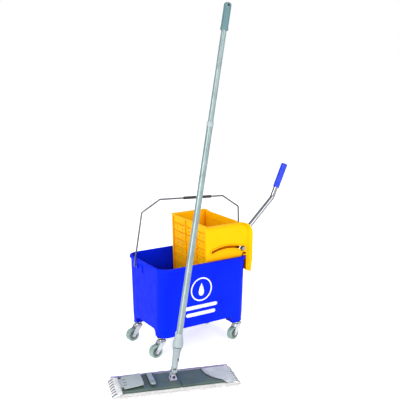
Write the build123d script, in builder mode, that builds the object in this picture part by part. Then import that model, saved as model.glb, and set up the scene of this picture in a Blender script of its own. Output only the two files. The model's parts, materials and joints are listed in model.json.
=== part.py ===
from build123d import *
from math import asin, atan2, cos, degrees, hypot, radians, sin, sqrt
import os

# A flat mop standing beside its wheeled bucket, with a side-press wringer hooked over the bucket's right-hand end.
# Millimetres, +Z up. +X runs along the bucket towards the wringer's lever, and the mop stands on the -Y side.
# The origin is on the floor, under the middle of the whole set.

os.makedirs("parts", exist_ok=True)

# ---- Where the two objects stand
BUCKET_X, BUCKET_Y = 42.2, 154.82
MOP_X, MOP_Y, MOP_TURN = -206.8, -164.18, -17.8
POLE_LEAN_SIDE, POLE_LEAN_BACK = 11.3, 9.7

# ---- Bucket
RIM_L, RIM_W, RIM_R = 393, 293, 45
RIM_Z, LIP_H = 348, 10
TOP_L, TOP_W, TOP_R = 387, 275, 41
BASE_L, BASE_W, BASE_R = 382, 255, 38
BASE_Z, FLOOR_T, WALL = 101, 4, 3

# ---- Castors
CASTOR_X, CASTOR_Y = 173, 96
FOOT_Z, FOOT_L, FOOT_W = 76, 60, 50
STEM_R, STEM_TOP = 5.5, 92
WHEEL_R, WHEEL_W, TYRE_T, TRAIL = 25, 21, 6, 27
AXLE_R = 3
CASTOR_TURNS = {"front_left": 4, "back_left": 4, "front_right": 16, "back_right": 12}

# ---- Bail
WIRE_R = 3
BAIL_Z, BAIL_Y, BAIL_LEAN = 318.6, 57, 13
BAIL_FOOT, BAIL_KNEE, BAIL_CORNER = 212.4, 190.5, 123
BAIL_KNEE_H, BAIL_TOP_H = 227, 277
GRIP_L, GRIP_R, GRIP_SHIFT = 110, 5.4, 22

# ---- Wringer, measured from the bucket's middle
SIDE_Y, SHEET = 127, 3
WRINGER_TOP, WRINGER_BASE = 484, 196
FRONT_TOP_X, FRONT_BASE_X = 8, 14
HOOD_R, HOOD_FLARE, HOOD_DEPTH = 46, 9, 16
PIVOT_X, PIVOT_Z = 100, 208
SHAFT_X, SHAFT_Z, SHAFT_R = 173, 378, 5
LEVER_TRAVEL = 44
PLATE_T, PLATE_BASE, PLATE_TOP = 4, 225, 481
PLATE_Y0, PLATE_Y1 = -98, 120
LEVER_Y, TUBE_R, TUBE_WALL = -114, 9.5, 1.5

# ---- Mop pole, measured along it from the upper joint
LOWER_R, LOWER_WALL = 11, 1.1
UPPER_R, UPPER_WALL = 9.8, 1.1
SOCKET_END, RING_END, COLLAR_END = 71, 82, 130
LOWER_END, GRIP_START, POLE_END = 870, 1196, 1293

# ---- Mop head
HEAD_L, HEAD_W = 400, 110
CLOTH_L, CLOTH_W, CLOTH_T = 430, 150, 8
FRAME_Z0, FRAME_Z1 = 8.3, 16.3
FOLD_X, FOLD_Z = 14, 12.3
LOW_JOINT_X, LOW_JOINT_Z, JOINT_RISE = -3.5, 29, 18
FLAP_X, FLAP_Z, FLAP_TILT = -187, 19.5, 8

bucket_at = Location((BUCKET_X, BUCKET_Y, 0))
mop_at = Location((MOP_X, MOP_Y, 0), (0, 0, MOP_TURN))
cross_at = mop_at * Location((LOW_JOINT_X, 0, LOW_JOINT_Z), (0, POLE_LEAN_SIDE, 0))
pole_at = cross_at * Location((0, 0, JOINT_RISE), (-POLE_LEAN_BACK, 0, 0))


def save(part, node, at=Location()):
    """Writes one finished piece where it belongs on the object."""
    placed = at * part
    placed.label = node
    export_step(placed, f"parts/{node}.step")


# ======================================================================= bucket
bail_turn = degrees(atan2(-BAIL_Y, sqrt(BAIL_FOOT**2 - BAIL_Y**2)))
bail_axis = Location((0, 0, BAIL_Z), (0, 0, bail_turn))
BORE_FIT = 0.05

# Four feet, cut from one slab by two rounded channels that cross under the floor.
with BuildPart() as feet:
    with BuildSketch(Plane.XY.offset(FOOT_Z)):
        RectangleRounded(BASE_L - 4, BASE_W - 4, BASE_R - 2)
    with BuildSketch(Plane.XY.offset(BASE_Z + 8)):
        RectangleRounded(BASE_L, BASE_W, BASE_R)
    loft()
    fillet(feet.faces().sort_by(Axis.Z)[0].edges(), 3)
    with BuildSketch(Plane.XZ):
        with Locations((0, FOOT_Z)):
            RectangleRounded(BASE_L - 2 * FOOT_L, 2 * (BASE_Z + 6 - FOOT_Z), 20)
    extrude(amount=BASE_W, both=True, mode=Mode.SUBTRACT)
    with BuildSketch(Plane.YZ):
        with Locations((0, FOOT_Z)):
            RectangleRounded(BASE_W - 2 * FOOT_W, 2 * (BASE_Z + 6 - FOOT_Z), 20)
    extrude(amount=BASE_L, both=True, mode=Mode.SUBTRACT)

with BuildPart() as bucket:
    with BuildSketch(Plane.XY.offset(BASE_Z)):
        RectangleRounded(BASE_L, BASE_W, BASE_R)
    with BuildSketch(Plane.XY.offset(RIM_Z)):
        RectangleRounded(TOP_L, TOP_W, TOP_R)
    loft()
    fillet(bucket.faces().sort_by(Axis.Z)[0].edges(), 6)
    add(feet.part)
    # Lip round the top.
    with BuildSketch(Plane.XY.offset(RIM_Z - LIP_H)):
        RectangleRounded(RIM_L, RIM_W, RIM_R)
    extrude(amount=LIP_H)
    fillet(bucket.faces().sort_by(Axis.Z)[-1].edges(), 4)
    # Moulded lugs for the bail's ends, in line with its slanting axis.
    for side in (-1, 1):
        lug_plane = Plane(bail_axis) * Location((side * 195, 0, 0), (0, 90, 0))
        with BuildSketch(lug_plane):
            Circle(9)
        extrude(amount=9, both=True)
    # Inside.
    with BuildSketch(Plane.XY.offset(BASE_Z + FLOOR_T)) as inside_low:
        RectangleRounded(BASE_L - 2 * WALL, BASE_W - 2 * WALL, BASE_R - WALL)
    with BuildSketch(Plane.XY.offset(RIM_Z + 0.01)) as inside_high:
        RectangleRounded(TOP_L - 2 * WALL, TOP_W - 2 * WALL, TOP_R - WALL)
    loft(mode=Mode.SUBTRACT)
    # Bores through the lugs, and stem sockets in the feet.
    for side in (-1, 1):
        bore_plane = Plane(bail_axis) * Location((side * 195, 0, 0), (0, 90, 0))
        with BuildSketch(bore_plane):
            Circle(WIRE_R + BORE_FIT)
        extrude(amount=30, both=True, mode=Mode.SUBTRACT)
    with BuildSketch(Plane.XY.offset(FOOT_Z)):
        with GridLocations(2 * CASTOR_X, 2 * CASTOR_Y, 2, 2):
            Circle(STEM_R)
    extrude(amount=STEM_TOP - FOOT_Z, mode=Mode.SUBTRACT)
    # A short stiffening rib on each end, beside the lug.
    for side in (-1, 1):
        with BuildSketch(Plane.XY.offset(300)):
            with Locations((side * (TOP_L / 2 + 0.5), -side * 14)):
                Rectangle(5, 4)
        extrude(amount=30)
save(bucket.part, "bucket", bucket_at)

# ====================================================================== castors
AXLE_Z = WHEEL_R
CROWN_Z0, CROWN_Z1 = 58, 62
LEG_Y0, LEG_Y1 = 11.5, 13.5

with BuildPart() as stem:
    with BuildSketch(Plane.XY.offset(CROWN_Z1 + 0.3)):
        Circle(14.5)
    extrude(amount=6)
    fillet(stem.faces().sort_by(Axis.Z)[-1].edges(), 3)
    with BuildSketch(Plane.XY.offset(CROWN_Z1 + 6.3)):
        Circle(9)
    extrude(amount=FOOT_Z - CROWN_Z1 - 8.3)
    with BuildSketch(Plane.XY.offset(FOOT_Z - 2)):
        Circle(18)
    extrude(amount=2)
    with BuildSketch(Plane.XY.offset(FOOT_Z)):
        Circle(STEM_R)
    extrude(amount=STEM_TOP - FOOT_Z)
    with BuildSketch(Plane.XY.offset(CROWN_Z0 - 0.3)):
        Circle(4)
    extrude(amount=CROWN_Z1 - CROWN_Z0 + 0.6)
    with BuildSketch(Plane.XY.offset(CROWN_Z0 - 0.3)):
        Circle(7)
    extrude(amount=-2.5)

with BuildPart() as fork:
    with BuildSketch(Plane.XY.offset(CROWN_Z0)):
        Circle(17)
        Circle(4 + BORE_FIT, mode=Mode.SUBTRACT)
    extrude(amount=CROWN_Z1 - CROWN_Z0)
    for side in (-1, 1):
        with BuildSketch(Plane.XZ.offset(side * (LEG_Y0 + LEG_Y1) / 2)):
            with Locations((-TRAIL, AXLE_Z)):
                Circle(8)
            with Locations((0, CROWN_Z1 - 2)):
                Rectangle(24, 4)
            make_hull()
        extrude(amount=(LEG_Y1 - LEG_Y0) / 2, both=True)
    with BuildSketch(Plane.XZ):
        with Locations((-TRAIL, AXLE_Z)):
            Circle(AXLE_R)
    extrude(amount=20, both=True, mode=Mode.SUBTRACT)

with BuildPart() as axle:
    with BuildSketch(Plane.XZ):
        with Locations((-TRAIL, AXLE_Z)):
            Circle(AXLE_R)
    extrude(amount=LEG_Y1, both=True)
    for side in (-1, 1):
        with BuildSketch(Plane.XZ.offset(side * LEG_Y1)):
            with Locations((-TRAIL, AXLE_Z)):
                Circle(5.5)
        extrude(amount=side * 2.5)

wheel_plane = Plane(origin=(-TRAIL, 0, AXLE_Z), x_dir=(1, 0, 0), z_dir=(0, -1, 0))
with BuildPart() as wheel:
    with BuildSketch(wheel_plane):
        Circle(WHEEL_R - TYRE_T)
        Circle(AXLE_R + BORE_FIT, mode=Mode.SUBTRACT)
    extrude(amount=WHEEL_W / 2 - 1, both=True)
    for side in (-1, 1):
        with BuildSketch(wheel_plane.offset(side * 4)):
            Circle(WHEEL_R - TYRE_T - 3)
            Circle(7, mode=Mode.SUBTRACT)
        extrude(amount=side * 10, mode=Mode.SUBTRACT)

with BuildPart() as tyre:
    with BuildSketch(wheel_plane):
        Circle(WHEEL_R)
        Circle(WHEEL_R - TYRE_T, mode=Mode.SUBTRACT)
    extrude(amount=WHEEL_W / 2, both=True)
    fillet(tyre.edges().filter_by(GeomType.CIRCLE).group_by(SortBy.RADIUS)[-1], 3)

for corner, turn in CASTOR_TURNS.items():
    x = CASTOR_X if "right" in corner else -CASTOR_X
    y = -CASTOR_Y if "front" in corner else CASTOR_Y
    castor_at = bucket_at * Location((x, y, 0), (0, 0, turn))
    save(stem.part, f"castor_{corner}_stem", castor_at)
    save(fork.part, f"castor_{corner}_fork", castor_at)
    save(axle.part, f"castor_{corner}_axle", castor_at)
    save(wheel.part, f"castor_{corner}_wheel", castor_at)
    save(tyre.part, f"castor_{corner}_tyre", castor_at)

# ========================================================================= bail
# Drawn upright on XZ with its pivots on the X axis, then leant about that axis.
bail_at = bucket_at * bail_axis * Location((0, 0, 0), (BAIL_LEAN, 0, 0))
PIN_END = 190

with BuildPart() as bail:
    with BuildLine(Plane.XZ) as bail_path:
        FilletPolyline(
            (-PIN_END, 0), (-BAIL_FOOT, 0), (-BAIL_KNEE, BAIL_KNEE_H), (-BAIL_CORNER, BAIL_TOP_H),
            (BAIL_CORNER, BAIL_TOP_H), (BAIL_KNEE, BAIL_KNEE_H), (BAIL_FOOT, 0), (PIN_END, 0),
            radius=[5, 12, 14, 14, 12, 5],
        )
    with BuildSketch(Plane(origin=(-PIN_END, 0, 0), z_dir=(-1, 0, 0))):
        Circle(WIRE_R)
    sweep()
save(bail.part, "bail", bail_at)

with BuildPart() as bail_grip:
    with BuildSketch(Plane(origin=(GRIP_SHIFT - GRIP_L / 2, 0, BAIL_TOP_H), z_dir=(1, 0, 0))):
        Circle(GRIP_R)
        Circle(WIRE_R + BORE_FIT, mode=Mode.SUBTRACT)
    extrude(amount=GRIP_L)
    fillet(bail_grip.edges().filter_by(GeomType.CIRCLE).group_by(SortBy.RADIUS)[-1], 1.5)
save(bail_grip.part, "bail_grip", bail_at)

# ====================================================================== wringer
swing_r = hypot(SHAFT_X - PIVOT_X, SHAFT_Z - PIVOT_Z)
rest_angle = degrees(atan2(SHAFT_Z - PIVOT_Z, SHAFT_X - PIVOT_X))
SLOT_R = SHAFT_R + 0.6
CELL_RIBS_Y = (27, -54)
CELL_PITCH, CELL_ROWS = 31.5, 8
BAR_X0, BAR_X1 = 176, 190
NOTCH_X0, NOTCH_X1, NOTCH_TOP = 171, 191.5, 362
PANEL_X1, EAR_Z, FLANGE_TOP = 202, 284, 372


def on_swing(angle, radius=swing_r):
    """A point on a circle about the lever's pivot, as X and Z."""
    return PIVOT_X + radius * cos(radians(angle)), PIVOT_Z + radius * sin(radians(angle))


def panel_plane(side, out=0):
    """The plane of one side panel's outer face, or one further out, seen from the front."""
    return Plane(origin=(0, side * (SIDE_Y + out), 0), x_dir=(1, 0, 0), z_dir=(0, -1, 0))


def side_panel(plane):
    """The side panel's outline, with the notch that drops over the bucket's rim."""
    with BuildSketch(plane) as outline:
        with BuildLine():
            Polyline(
                (PANEL_X1 - HOOD_R, WRINGER_TOP), (FRONT_TOP_X, WRINGER_TOP), (FRONT_BASE_X, WRINGER_BASE),
                (158, WRINGER_BASE), (NOTCH_X0, 340), (NOTCH_X0, NOTCH_TOP - 6), (NOTCH_X0 + 6, NOTCH_TOP),
                (NOTCH_X1 - 6, NOTCH_TOP), (NOTCH_X1, NOTCH_TOP - 6), (NOTCH_X1, EAR_Z), (PANEL_X1 - 3, EAR_Z),
                (PANEL_X1 - 1, 330), (PANEL_X1, WRINGER_TOP - HOOD_R),
            )
            RadiusArc((PANEL_X1, WRINGER_TOP - HOOD_R), (PANEL_X1 - HOOD_R, WRINGER_TOP), -HOOD_R)
        make_face()
    return outline.sketch


def edge_band(plane, flare):
    """A strip one wall thick along the panel's top and outer edges, moved out by flare."""
    top, right, radius = WRINGER_TOP + flare * 0.1, PANEL_X1 + flare, HOOD_R + flare / 2
    with BuildSketch(plane) as band:
        with BuildLine():
            Line((FRONT_TOP_X, top), (right - radius, top))
            RadiusArc((right - radius, top), (right, top - radius), radius)
            Polyline(
                (right, top - radius), (right - 1, 330), (right - 3 - flare / 2, EAR_Z),
                (right - 3 - flare / 2 - SHEET, EAR_Z), (right - 1 - SHEET, 330), (right - SHEET, top - radius),
            )
            RadiusArc((right - SHEET, top - radius), (right - radius, top - SHEET), SHEET - radius)
            Polyline((right - radius, top - SHEET), (FRONT_TOP_X, top - SHEET), (FRONT_TOP_X, top))
        make_face()
    return band.sketch


def hood(side):
    """The rim that flares outwards from a side panel's top and outer edges."""
    return loft([edge_band(panel_plane(side), 0), edge_band(panel_plane(side, HOOD_DEPTH), HOOD_FLARE)])


def front_x(z):
    """The front wall leans: its outer face's X at a height."""
    return FRONT_TOP_X + (FRONT_BASE_X - FRONT_TOP_X) * (WRINGER_TOP - z) / (WRINGER_TOP - WRINGER_BASE)


hoods = [hood(-1), hood(1)]
swing_arc = CenterArc((PIVOT_X, PIVOT_Z), swing_r, rest_angle, LEVER_TRAVEL)
rib_rows = [WRINGER_TOP - 32 - CELL_PITCH * row for row in range(CELL_ROWS)]
cell_edges = [-SIDE_Y + 9, CELL_RIBS_Y[1], CELL_RIBS_Y[0], SIDE_Y - 9]

with BuildPart() as wringer:
    for side in (-1, 1):
        extrude(side_panel(panel_plane(side)), amount=side * SHEET)
    add(hoods)
    # Front wall, and the bar that sits on the bucket's rim; then the web that hangs inside it.
    with BuildSketch(Plane.XZ):
        with BuildLine():
            Polyline(
                (FRONT_TOP_X, WRINGER_TOP), (FRONT_BASE_X, WRINGER_BASE), (158, WRINGER_BASE),
                (158, WRINGER_BASE + SHEET), (FRONT_BASE_X + SHEET, WRINGER_BASE + SHEET),
                (FRONT_TOP_X + SHEET, WRINGER_TOP), close=True,
            )
        make_face()
        with Locations(((BAR_X0 + BAR_X1) / 2, RIM_Z + 2.4)):
            Rectangle(BAR_X1 - BAR_X0, 4)
        with Locations((FRONT_TOP_X + 1, WRINGER_TOP - 2.5)):
            Rectangle(8, 5)
    extrude(amount=SIDE_Y - SHEET, both=True)
    with BuildSketch(Plane.XZ):
        with Locations((BAR_X0 + 2, RIM_Z - 22)):
            Rectangle(4, 52)
    extrude(amount=100, both=True)
    # The bar's ends are wider and join the ears outside the rim.
    for side in (-1, 1):
        with BuildSketch(panel_plane(side)):
            with Locations((BAR_X0 + 9, RIM_Z + 2.4)):
                Rectangle(18, 4)
        extrude(amount=side * 22)
    # Each ear turns a short flange inwards, outside the rim.
    for side in (-1, 1):
        with BuildSketch(Plane.XY.offset(EAR_Z)):
            with Locations((PANEL_X1 - 1 - SHEET / 2, side * (SIDE_Y - 21))):
                Rectangle(SHEET, 40)
        extrude(amount=FLANGE_TOP - EAR_Z)
    # The floor's back part narrows to follow the bucket's rounded corners.
    with BuildSketch(Plane.XY.offset(WRINGER_BASE)):
        with BuildLine():
            Polyline((150, -124), (158, -124), (182, -96), (182, 96), (158, 124), (150, 124), close=True)
        make_face()
    extrude(amount=SHEET)
    # Ribs that divide the front wall into cells.
    for z in rib_rows:
        with BuildSketch(Plane.XY.offset(z - 1.5)):
            with Locations((front_x(z) - 1.5, 0)):
                Rectangle(5, 2 * SIDE_Y)
        extrude(amount=3)
    for y, width in ((CELL_RIBS_Y[0], 4), (CELL_RIBS_Y[1], 4), (-SIDE_Y + 4, 8), (SIDE_Y - 4, 8)):
        with BuildSketch(Plane.XZ.offset(-y)):
            with BuildLine():
                Polyline(
                    (FRONT_TOP_X - 4, WRINGER_TOP), (FRONT_BASE_X - 4, WRINGER_BASE),
                    (FRONT_BASE_X + 1, WRINGER_BASE), (FRONT_TOP_X + 1, WRINGER_TOP), close=True,
                )
            make_face()
        extrude(amount=width / 2, both=True)
    # Two drain holes in each cell, and a grid of them through the floor.
    with BuildSketch(Plane.YZ):
        for z in rib_rows:
            for low, high in zip(cell_edges, cell_edges[1:]):
                for share in (0.3, 0.7):
                    with Locations((low + (high - low) * share, z - CELL_PITCH / 2)):
                        Circle(3)
    extrude(amount=30, mode=Mode.SUBTRACT)
    with BuildSketch(Plane.XY.offset(WRINGER_BASE)):
        with Locations((98, 0)):
            with GridLocations(26, 26, 6, 8):
                Circle(4.5)
    extrude(amount=SHEET, mode=Mode.SUBTRACT)
    # Well in the floor for the lever's foot.
    with BuildSketch(Plane.XY.offset(WRINGER_BASE)):
        with Locations((PIVOT_X, -114.05)):
            Rectangle(28, 19.9)
    extrude(amount=SHEET, mode=Mode.SUBTRACT)
    # Raised edge round each slot, then the slots that guide the shaft.
    for side in (-1, 1):
        with BuildSketch(panel_plane(side)):
            SlotArc(swing_arc, 2 * SLOT_R + 7)
        extrude(amount=-side * 2.5)
    with BuildSketch(Plane.XZ):
        SlotArc(swing_arc, 2 * SLOT_R)
    extrude(amount=SIDE_Y + 5, both=True, mode=Mode.SUBTRACT)
    # Lug that holds the inner end of the lever's pivot pin.
    with BuildSketch(Plane.XZ.offset(101.1)):
        with Locations((PIVOT_X, PIVOT_Z)):
            Circle(11)
        with Locations((PIVOT_X, WRINGER_BASE + 2)):
            Rectangle(34, 4)
        make_hull()
    extrude(amount=3)
    with BuildSketch(Plane.XZ.offset(90)):
        with Locations((PIVOT_X, PIVOT_Z)):
            Circle(SHAFT_R)
    extrude(amount=60, mode=Mode.SUBTRACT)
save(wringer.part, "wringer_basket", bucket_at)

# ------------------------------------------------------------ lever and its shaft
grip_dir = Vector(382 - 323, 690 - 560).normalized()
lever_end = Vector(382, 690)
LEVER_GRIP_L, LEVER_GRIP_R = 100, 12.3
tail_x, tail_z = on_swing(rest_angle, -6)
bend_x, bend_z = on_swing(rest_angle, 262)

with BuildPart() as lever_tube:
    with BuildLine(Plane.XZ.offset(-LEVER_Y)):
        FilletPolyline(
            (tail_x, tail_z), (bend_x, bend_z), (323, 560),
            (lever_end.X - 4 * grip_dir.X, lever_end.Y - 4 * grip_dir.Y), radius=[40, 45],
        )
    tail_plane = Plane(
        origin=(tail_x, LEVER_Y, tail_z), z_dir=(cos(radians(rest_angle)), 0, sin(radians(rest_angle)))
    )
    with BuildSketch(tail_plane):
        Circle(TUBE_R)
        Circle(TUBE_R - TUBE_WALL, mode=Mode.SUBTRACT)
    sweep()
    with BuildSketch(Plane.XZ.offset(-LEVER_Y)):
        with Locations((PIVOT_X, PIVOT_Z)):
            Circle(SHAFT_R + BORE_FIT)
        with Locations((SHAFT_X, SHAFT_Z)):
            Circle(SHAFT_R)
    extrude(amount=20, both=True, mode=Mode.SUBTRACT)
save(lever_tube.part, "lever_tube", bucket_at)

grip_plane = Plane(
    origin=(lever_end.X - LEVER_GRIP_L * grip_dir.X, LEVER_Y, lever_end.Y - LEVER_GRIP_L * grip_dir.Y),
    z_dir=(grip_dir.X, 0, grip_dir.Y),
)
with BuildPart() as lever_grip:
    with BuildSketch(grip_plane):
        Circle(LEVER_GRIP_R)
    extrude(amount=LEVER_GRIP_L)
    fillet(lever_grip.edges().filter_by(GeomType.CIRCLE), 3)
    with BuildSketch(grip_plane):
        Circle(TUBE_R)
    extrude(amount=LEVER_GRIP_L - 4, mode=Mode.SUBTRACT)
save(lever_grip.part, "lever_grip", bucket_at)

with BuildPart() as pivot_pin:
    with BuildSketch(Plane.XZ.offset(98.8)):
        with Locations((PIVOT_X, PIVOT_Z)):
            Circle(SHAFT_R)
    extrude(amount=SIDE_Y - 98.8)
save(pivot_pin.part, "lever_pivot_pin", bucket_at)

with BuildPart() as pivot_clip:
    with BuildSketch(Plane.XZ.offset(99.6)):
        with Locations((PIVOT_X, PIVOT_Z)):
            Circle(8.5)
            Circle(SHAFT_R, mode=Mode.SUBTRACT)
            with Locations((0, -8)):
                Rectangle(5, 8, mode=Mode.SUBTRACT)
    extrude(amount=1.2)
save(pivot_clip.part, "lever_pivot_clip", bucket_at)

NUT_Y0, NUT_Y1 = SIDE_Y + 4.3, SIDE_Y + 9
with BuildPart() as guide_shaft:
    with BuildSketch(Plane.XZ):
        with Locations((SHAFT_X, SHAFT_Z)):
            Circle(SHAFT_R)
    extrude(amount=NUT_Y1, both=True)
save(guide_shaft.part, "guide_shaft", bucket_at)

with BuildPart() as guide_washers:
    for side in (-1, 1):
        with BuildSketch(panel_plane(side, 2.8)):
            with Locations((SHAFT_X, SHAFT_Z)):
                Circle(10)
                Circle(SHAFT_R, mode=Mode.SUBTRACT)
        extrude(amount=-side * 1.5)
save(guide_washers.part, "guide_washers", bucket_at)

with BuildPart() as guide_nuts:
    for side in (-1, 1):
        with BuildSketch(panel_plane(side, NUT_Y0 - SIDE_Y)):
            with Locations((SHAFT_X, SHAFT_Z)):
                RegularPolygon(8, 6)
                Circle(SHAFT_R, mode=Mode.SUBTRACT)
        extrude(amount=-side * 4)
save(guide_nuts.part, "guide_nuts", bucket_at)

# -------------------------------------------------------------------- press plate
PLATE_X = SHAFT_X - 13
KNUCKLES_Y = (-88, 11, 110)
plate_mid_y = (PLATE_Y0 + PLATE_Y1) / 2
plate_plane = Plane(origin=(PLATE_X, plate_mid_y, 0), x_dir=(0, 1, 0), z_dir=(1, 0, 0))

with BuildPart() as press_plate:
    with BuildSketch(plate_plane):
        with Locations((0, (PLATE_BASE + PLATE_TOP) / 2)):
            RectangleRounded(PLATE_Y1 - PLATE_Y0, PLATE_TOP - PLATE_BASE, 9)
    extrude(amount=PLATE_T)
    # Stiffening ribs on the back.
    with BuildSketch(plate_plane.offset(PLATE_T)):
        with Locations((0, (PLATE_BASE + PLATE_TOP) / 2)):
            RectangleRounded(PLATE_Y1 - PLATE_Y0, PLATE_TOP - PLATE_BASE, 9)
            RectangleRounded(PLATE_Y1 - PLATE_Y0 - 6, PLATE_TOP - PLATE_BASE - 6, 6, mode=Mode.SUBTRACT)
        for y in (-62, -20, 22, 64):
            with Locations((y, (PLATE_BASE + PLATE_TOP) / 2)):
                Rectangle(2.5, PLATE_TOP - PLATE_BASE)
        for z in (270, 320, 430):
            with Locations((0, z)):
                Rectangle(PLATE_Y1 - PLATE_Y0, 2.5)
    extrude(amount=6)
    # Barrels for the shaft, each on a block that reaches the plate.
    for y in KNUCKLES_Y:
        with BuildSketch(Plane.XZ.offset(-y)):
            with Locations((SHAFT_X, SHAFT_Z)):
                Circle(9)
            with Locations((SHAFT_X - 5, SHAFT_Z)):
                Rectangle(10, 18)
        extrude(amount=9, both=True)
    with BuildSketch(Plane.XZ):
        with Locations((SHAFT_X, SHAFT_Z)):
            Circle(SHAFT_R + BORE_FIT)
    extrude(amount=SIDE_Y, both=True, mode=Mode.SUBTRACT)
    # Drain holes through the pressing face.
    with BuildSketch(plate_plane):
        for z in (245, 295, 345, 405, 455):
            for y in (-83, -41, 1, 43, 85):
                for shift in (-9, 9):
                    with Locations((y + shift, z)):
                        Circle(2.6)
    extrude(amount=PLATE_T, mode=Mode.SUBTRACT)
save(press_plate.part, "press_plate", bucket_at)

# ======================================================================== pole
def turned_part(outline, bore_r, bore_z0, bore_z1):
    """A turned piece from its outline as (radius, height) pairs, with a bore."""
    with BuildPart() as turned:
        with BuildSketch(Plane.XZ):
            with BuildLine():
                Polyline(*outline, close=True)
            make_face()
        revolve(axis=Axis.Z)
        with BuildSketch(Plane.XY.offset(bore_z0)):
            Circle(bore_r)
        extrude(amount=bore_z1 - bore_z0, mode=Mode.SUBTRACT)
    return turned.part


def tube(outer_r, wall, z0, z1):
    """A straight tube along the pole."""
    with BuildPart() as made:
        with BuildSketch(Plane.XY.offset(z0)):
            Circle(outer_r)
            Circle(outer_r - wall, mode=Mode.SUBTRACT)
        extrude(amount=z1 - z0)
    return made.part


EAR_R, EAR_GAP, EAR_T = 8, 5.3, 4.7
PIN_R = 3
TUBE_START, SCREW_Z = 28, 41
screw_plane = Plane(origin=(0, 0, SCREW_Z), z_dir=(0.6, -0.8, 0))

cone = turned_part([(0, 10), (10.6, 10), (13.7, SOCKET_END), (0, SOCKET_END)], LOWER_R, TUBE_START, SOCKET_END)
with BuildPart() as socket:
    add(cone)
    for side in (-1, 1):
        with BuildSketch(Plane.YZ.offset(side * EAR_GAP)):
            Circle(EAR_R)
            with Locations((0, 6)):
                Rectangle(2 * EAR_R, 12)
        extrude(amount=side * EAR_T)
    with BuildSketch(Plane.YZ):
        Circle(PIN_R + BORE_FIT)
    extrude(amount=20, both=True, mode=Mode.SUBTRACT)
    with BuildSketch(screw_plane):
        Circle(2)
    extrude(amount=20, mode=Mode.SUBTRACT)
    with BuildSketch(screw_plane.offset(11.6)):
        Circle(3.6)
    extrude(amount=5, mode=Mode.SUBTRACT)
save(socket.part, "pole_socket", pole_at)

with BuildPart() as lock_screw:
    with BuildSketch(screw_plane.offset(8)):
        Circle(2)
    extrude(amount=3.6)
    with BuildSketch(screw_plane.offset(11.6)):
        Circle(3.6)
    extrude(amount=2)
    with BuildSketch(screw_plane.offset(12.6)):
        Rectangle(1, 8)
        Rectangle(8, 1)
    extrude(amount=2, mode=Mode.SUBTRACT)
save(lock_screw.part, "lock_screw", pole_at)

ring = turned_part(
    [
        (0, SOCKET_END), (14.2, SOCKET_END), (15.6, SOCKET_END + 1.5), (15.6, RING_END - 3), (14.2, RING_END - 1),
        (14.2, RING_END), (0, RING_END),
    ],
    LOWER_R, SOCKET_END, RING_END,
)
save(ring, "socket_ring", pole_at)

collar = turned_part(
    [
        (0, RING_END + 0.3), (17.6, RING_END + 0.3), (18.6, RING_END + 2), (18.9, RING_END + 12),
        (18.0, RING_END + 22), (15.6, RING_END + 33), (12.6, COLLAR_END - 3), (11.9, COLLAR_END), (0, COLLAR_END),
    ],
    LOWER_R, RING_END, COLLAR_END,
)
save(collar, "pole_collar", pole_at)

with BuildPart() as lower_tube:
    add(tube(LOWER_R, LOWER_WALL, TUBE_START, LOWER_END))
    with BuildSketch(screw_plane):
        Circle(2)
    extrude(amount=20, mode=Mode.SUBTRACT)
save(lower_tube.part, "lower_tube", pole_at)

sleeve = turned_part(
    [(0, LOWER_END - 14), (12.4, LOWER_END - 14), (12.4, LOWER_END), (11.6, LOWER_END + 4), (0, LOWER_END + 4)],
    LOWER_R, LOWER_END - 14, LOWER_END,
)
with BuildPart() as tube_sleeve:
    add(sleeve)
    with BuildSketch(Plane.XY.offset(LOWER_END - 14)):
        Circle(UPPER_R + BORE_FIT)
    extrude(amount=30, mode=Mode.SUBTRACT)
save(tube_sleeve.part, "tube_sleeve", pole_at)

UPPER_START, UPPER_END = 700, 1276
save(tube(UPPER_R, UPPER_WALL, UPPER_START, UPPER_END), "upper_tube", pole_at)

twist_lock = turned_part(
    [
        (0, 660), (9.7, 660), (9.7, 690), (9.7, UPPER_START), (UPPER_R - UPPER_WALL, UPPER_START),
        (UPPER_R - UPPER_WALL, UPPER_START + 22), (0, UPPER_START + 22),
    ],
    3, 650, 690,
)
save(twist_lock, "twist_lock", pole_at)

HOLE_Z = POLE_END - 11
with BuildPart() as pole_grip:
    with BuildSketch(Plane.XY.offset(GRIP_START)):
        Circle(13.4)
    extrude(amount=POLE_END - GRIP_START)
    fillet(pole_grip.edges().filter_by(GeomType.CIRCLE).sort_by(Axis.Z)[-1], 9)
    with BuildSketch(Plane.XY.offset(GRIP_START)):
        Circle(14.4)
    extrude(amount=9)
    with BuildSketch(Plane.XY.offset(GRIP_START)):
        Circle(UPPER_R)
    extrude(amount=UPPER_END - GRIP_START, mode=Mode.SUBTRACT)
    with BuildSketch(Plane.XZ):
        with Locations((0, HOLE_Z)):
            Circle(4)
    extrude(amount=20, both=True, mode=Mode.SUBTRACT)
save(pole_grip.part, "pole_grip", pole_at)

# ==================================================================== mop head
# Drawn on its own axes: X along the head, Y towards the bucket, Z up, with the joint over the middle.
with BuildPart() as joint_cross:
    with BuildSketch(Plane.XZ):
        Circle(7.5)
        with Locations((0, JOINT_RISE / 2)):
            Rectangle(10, JOINT_RISE)
    extrude(amount=7, both=True)
    with BuildSketch(Plane.XZ):
        Circle(7.5)
    extrude(amount=9.6, both=True)
    with BuildSketch(Plane.YZ):
        with Locations((0, JOINT_RISE)):
            Circle(7)
    extrude(amount=5, both=True)
    with BuildSketch(Plane.XZ):
        Circle(PIN_R + BORE_FIT)
    extrude(amount=20, both=True, mode=Mode.SUBTRACT)
    with BuildSketch(Plane.YZ):
        with Locations((0, JOINT_RISE)):
            Circle(PIN_R)
    extrude(amount=20, both=True, mode=Mode.SUBTRACT)
save(joint_cross.part, "joint_cross", cross_at)


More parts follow.
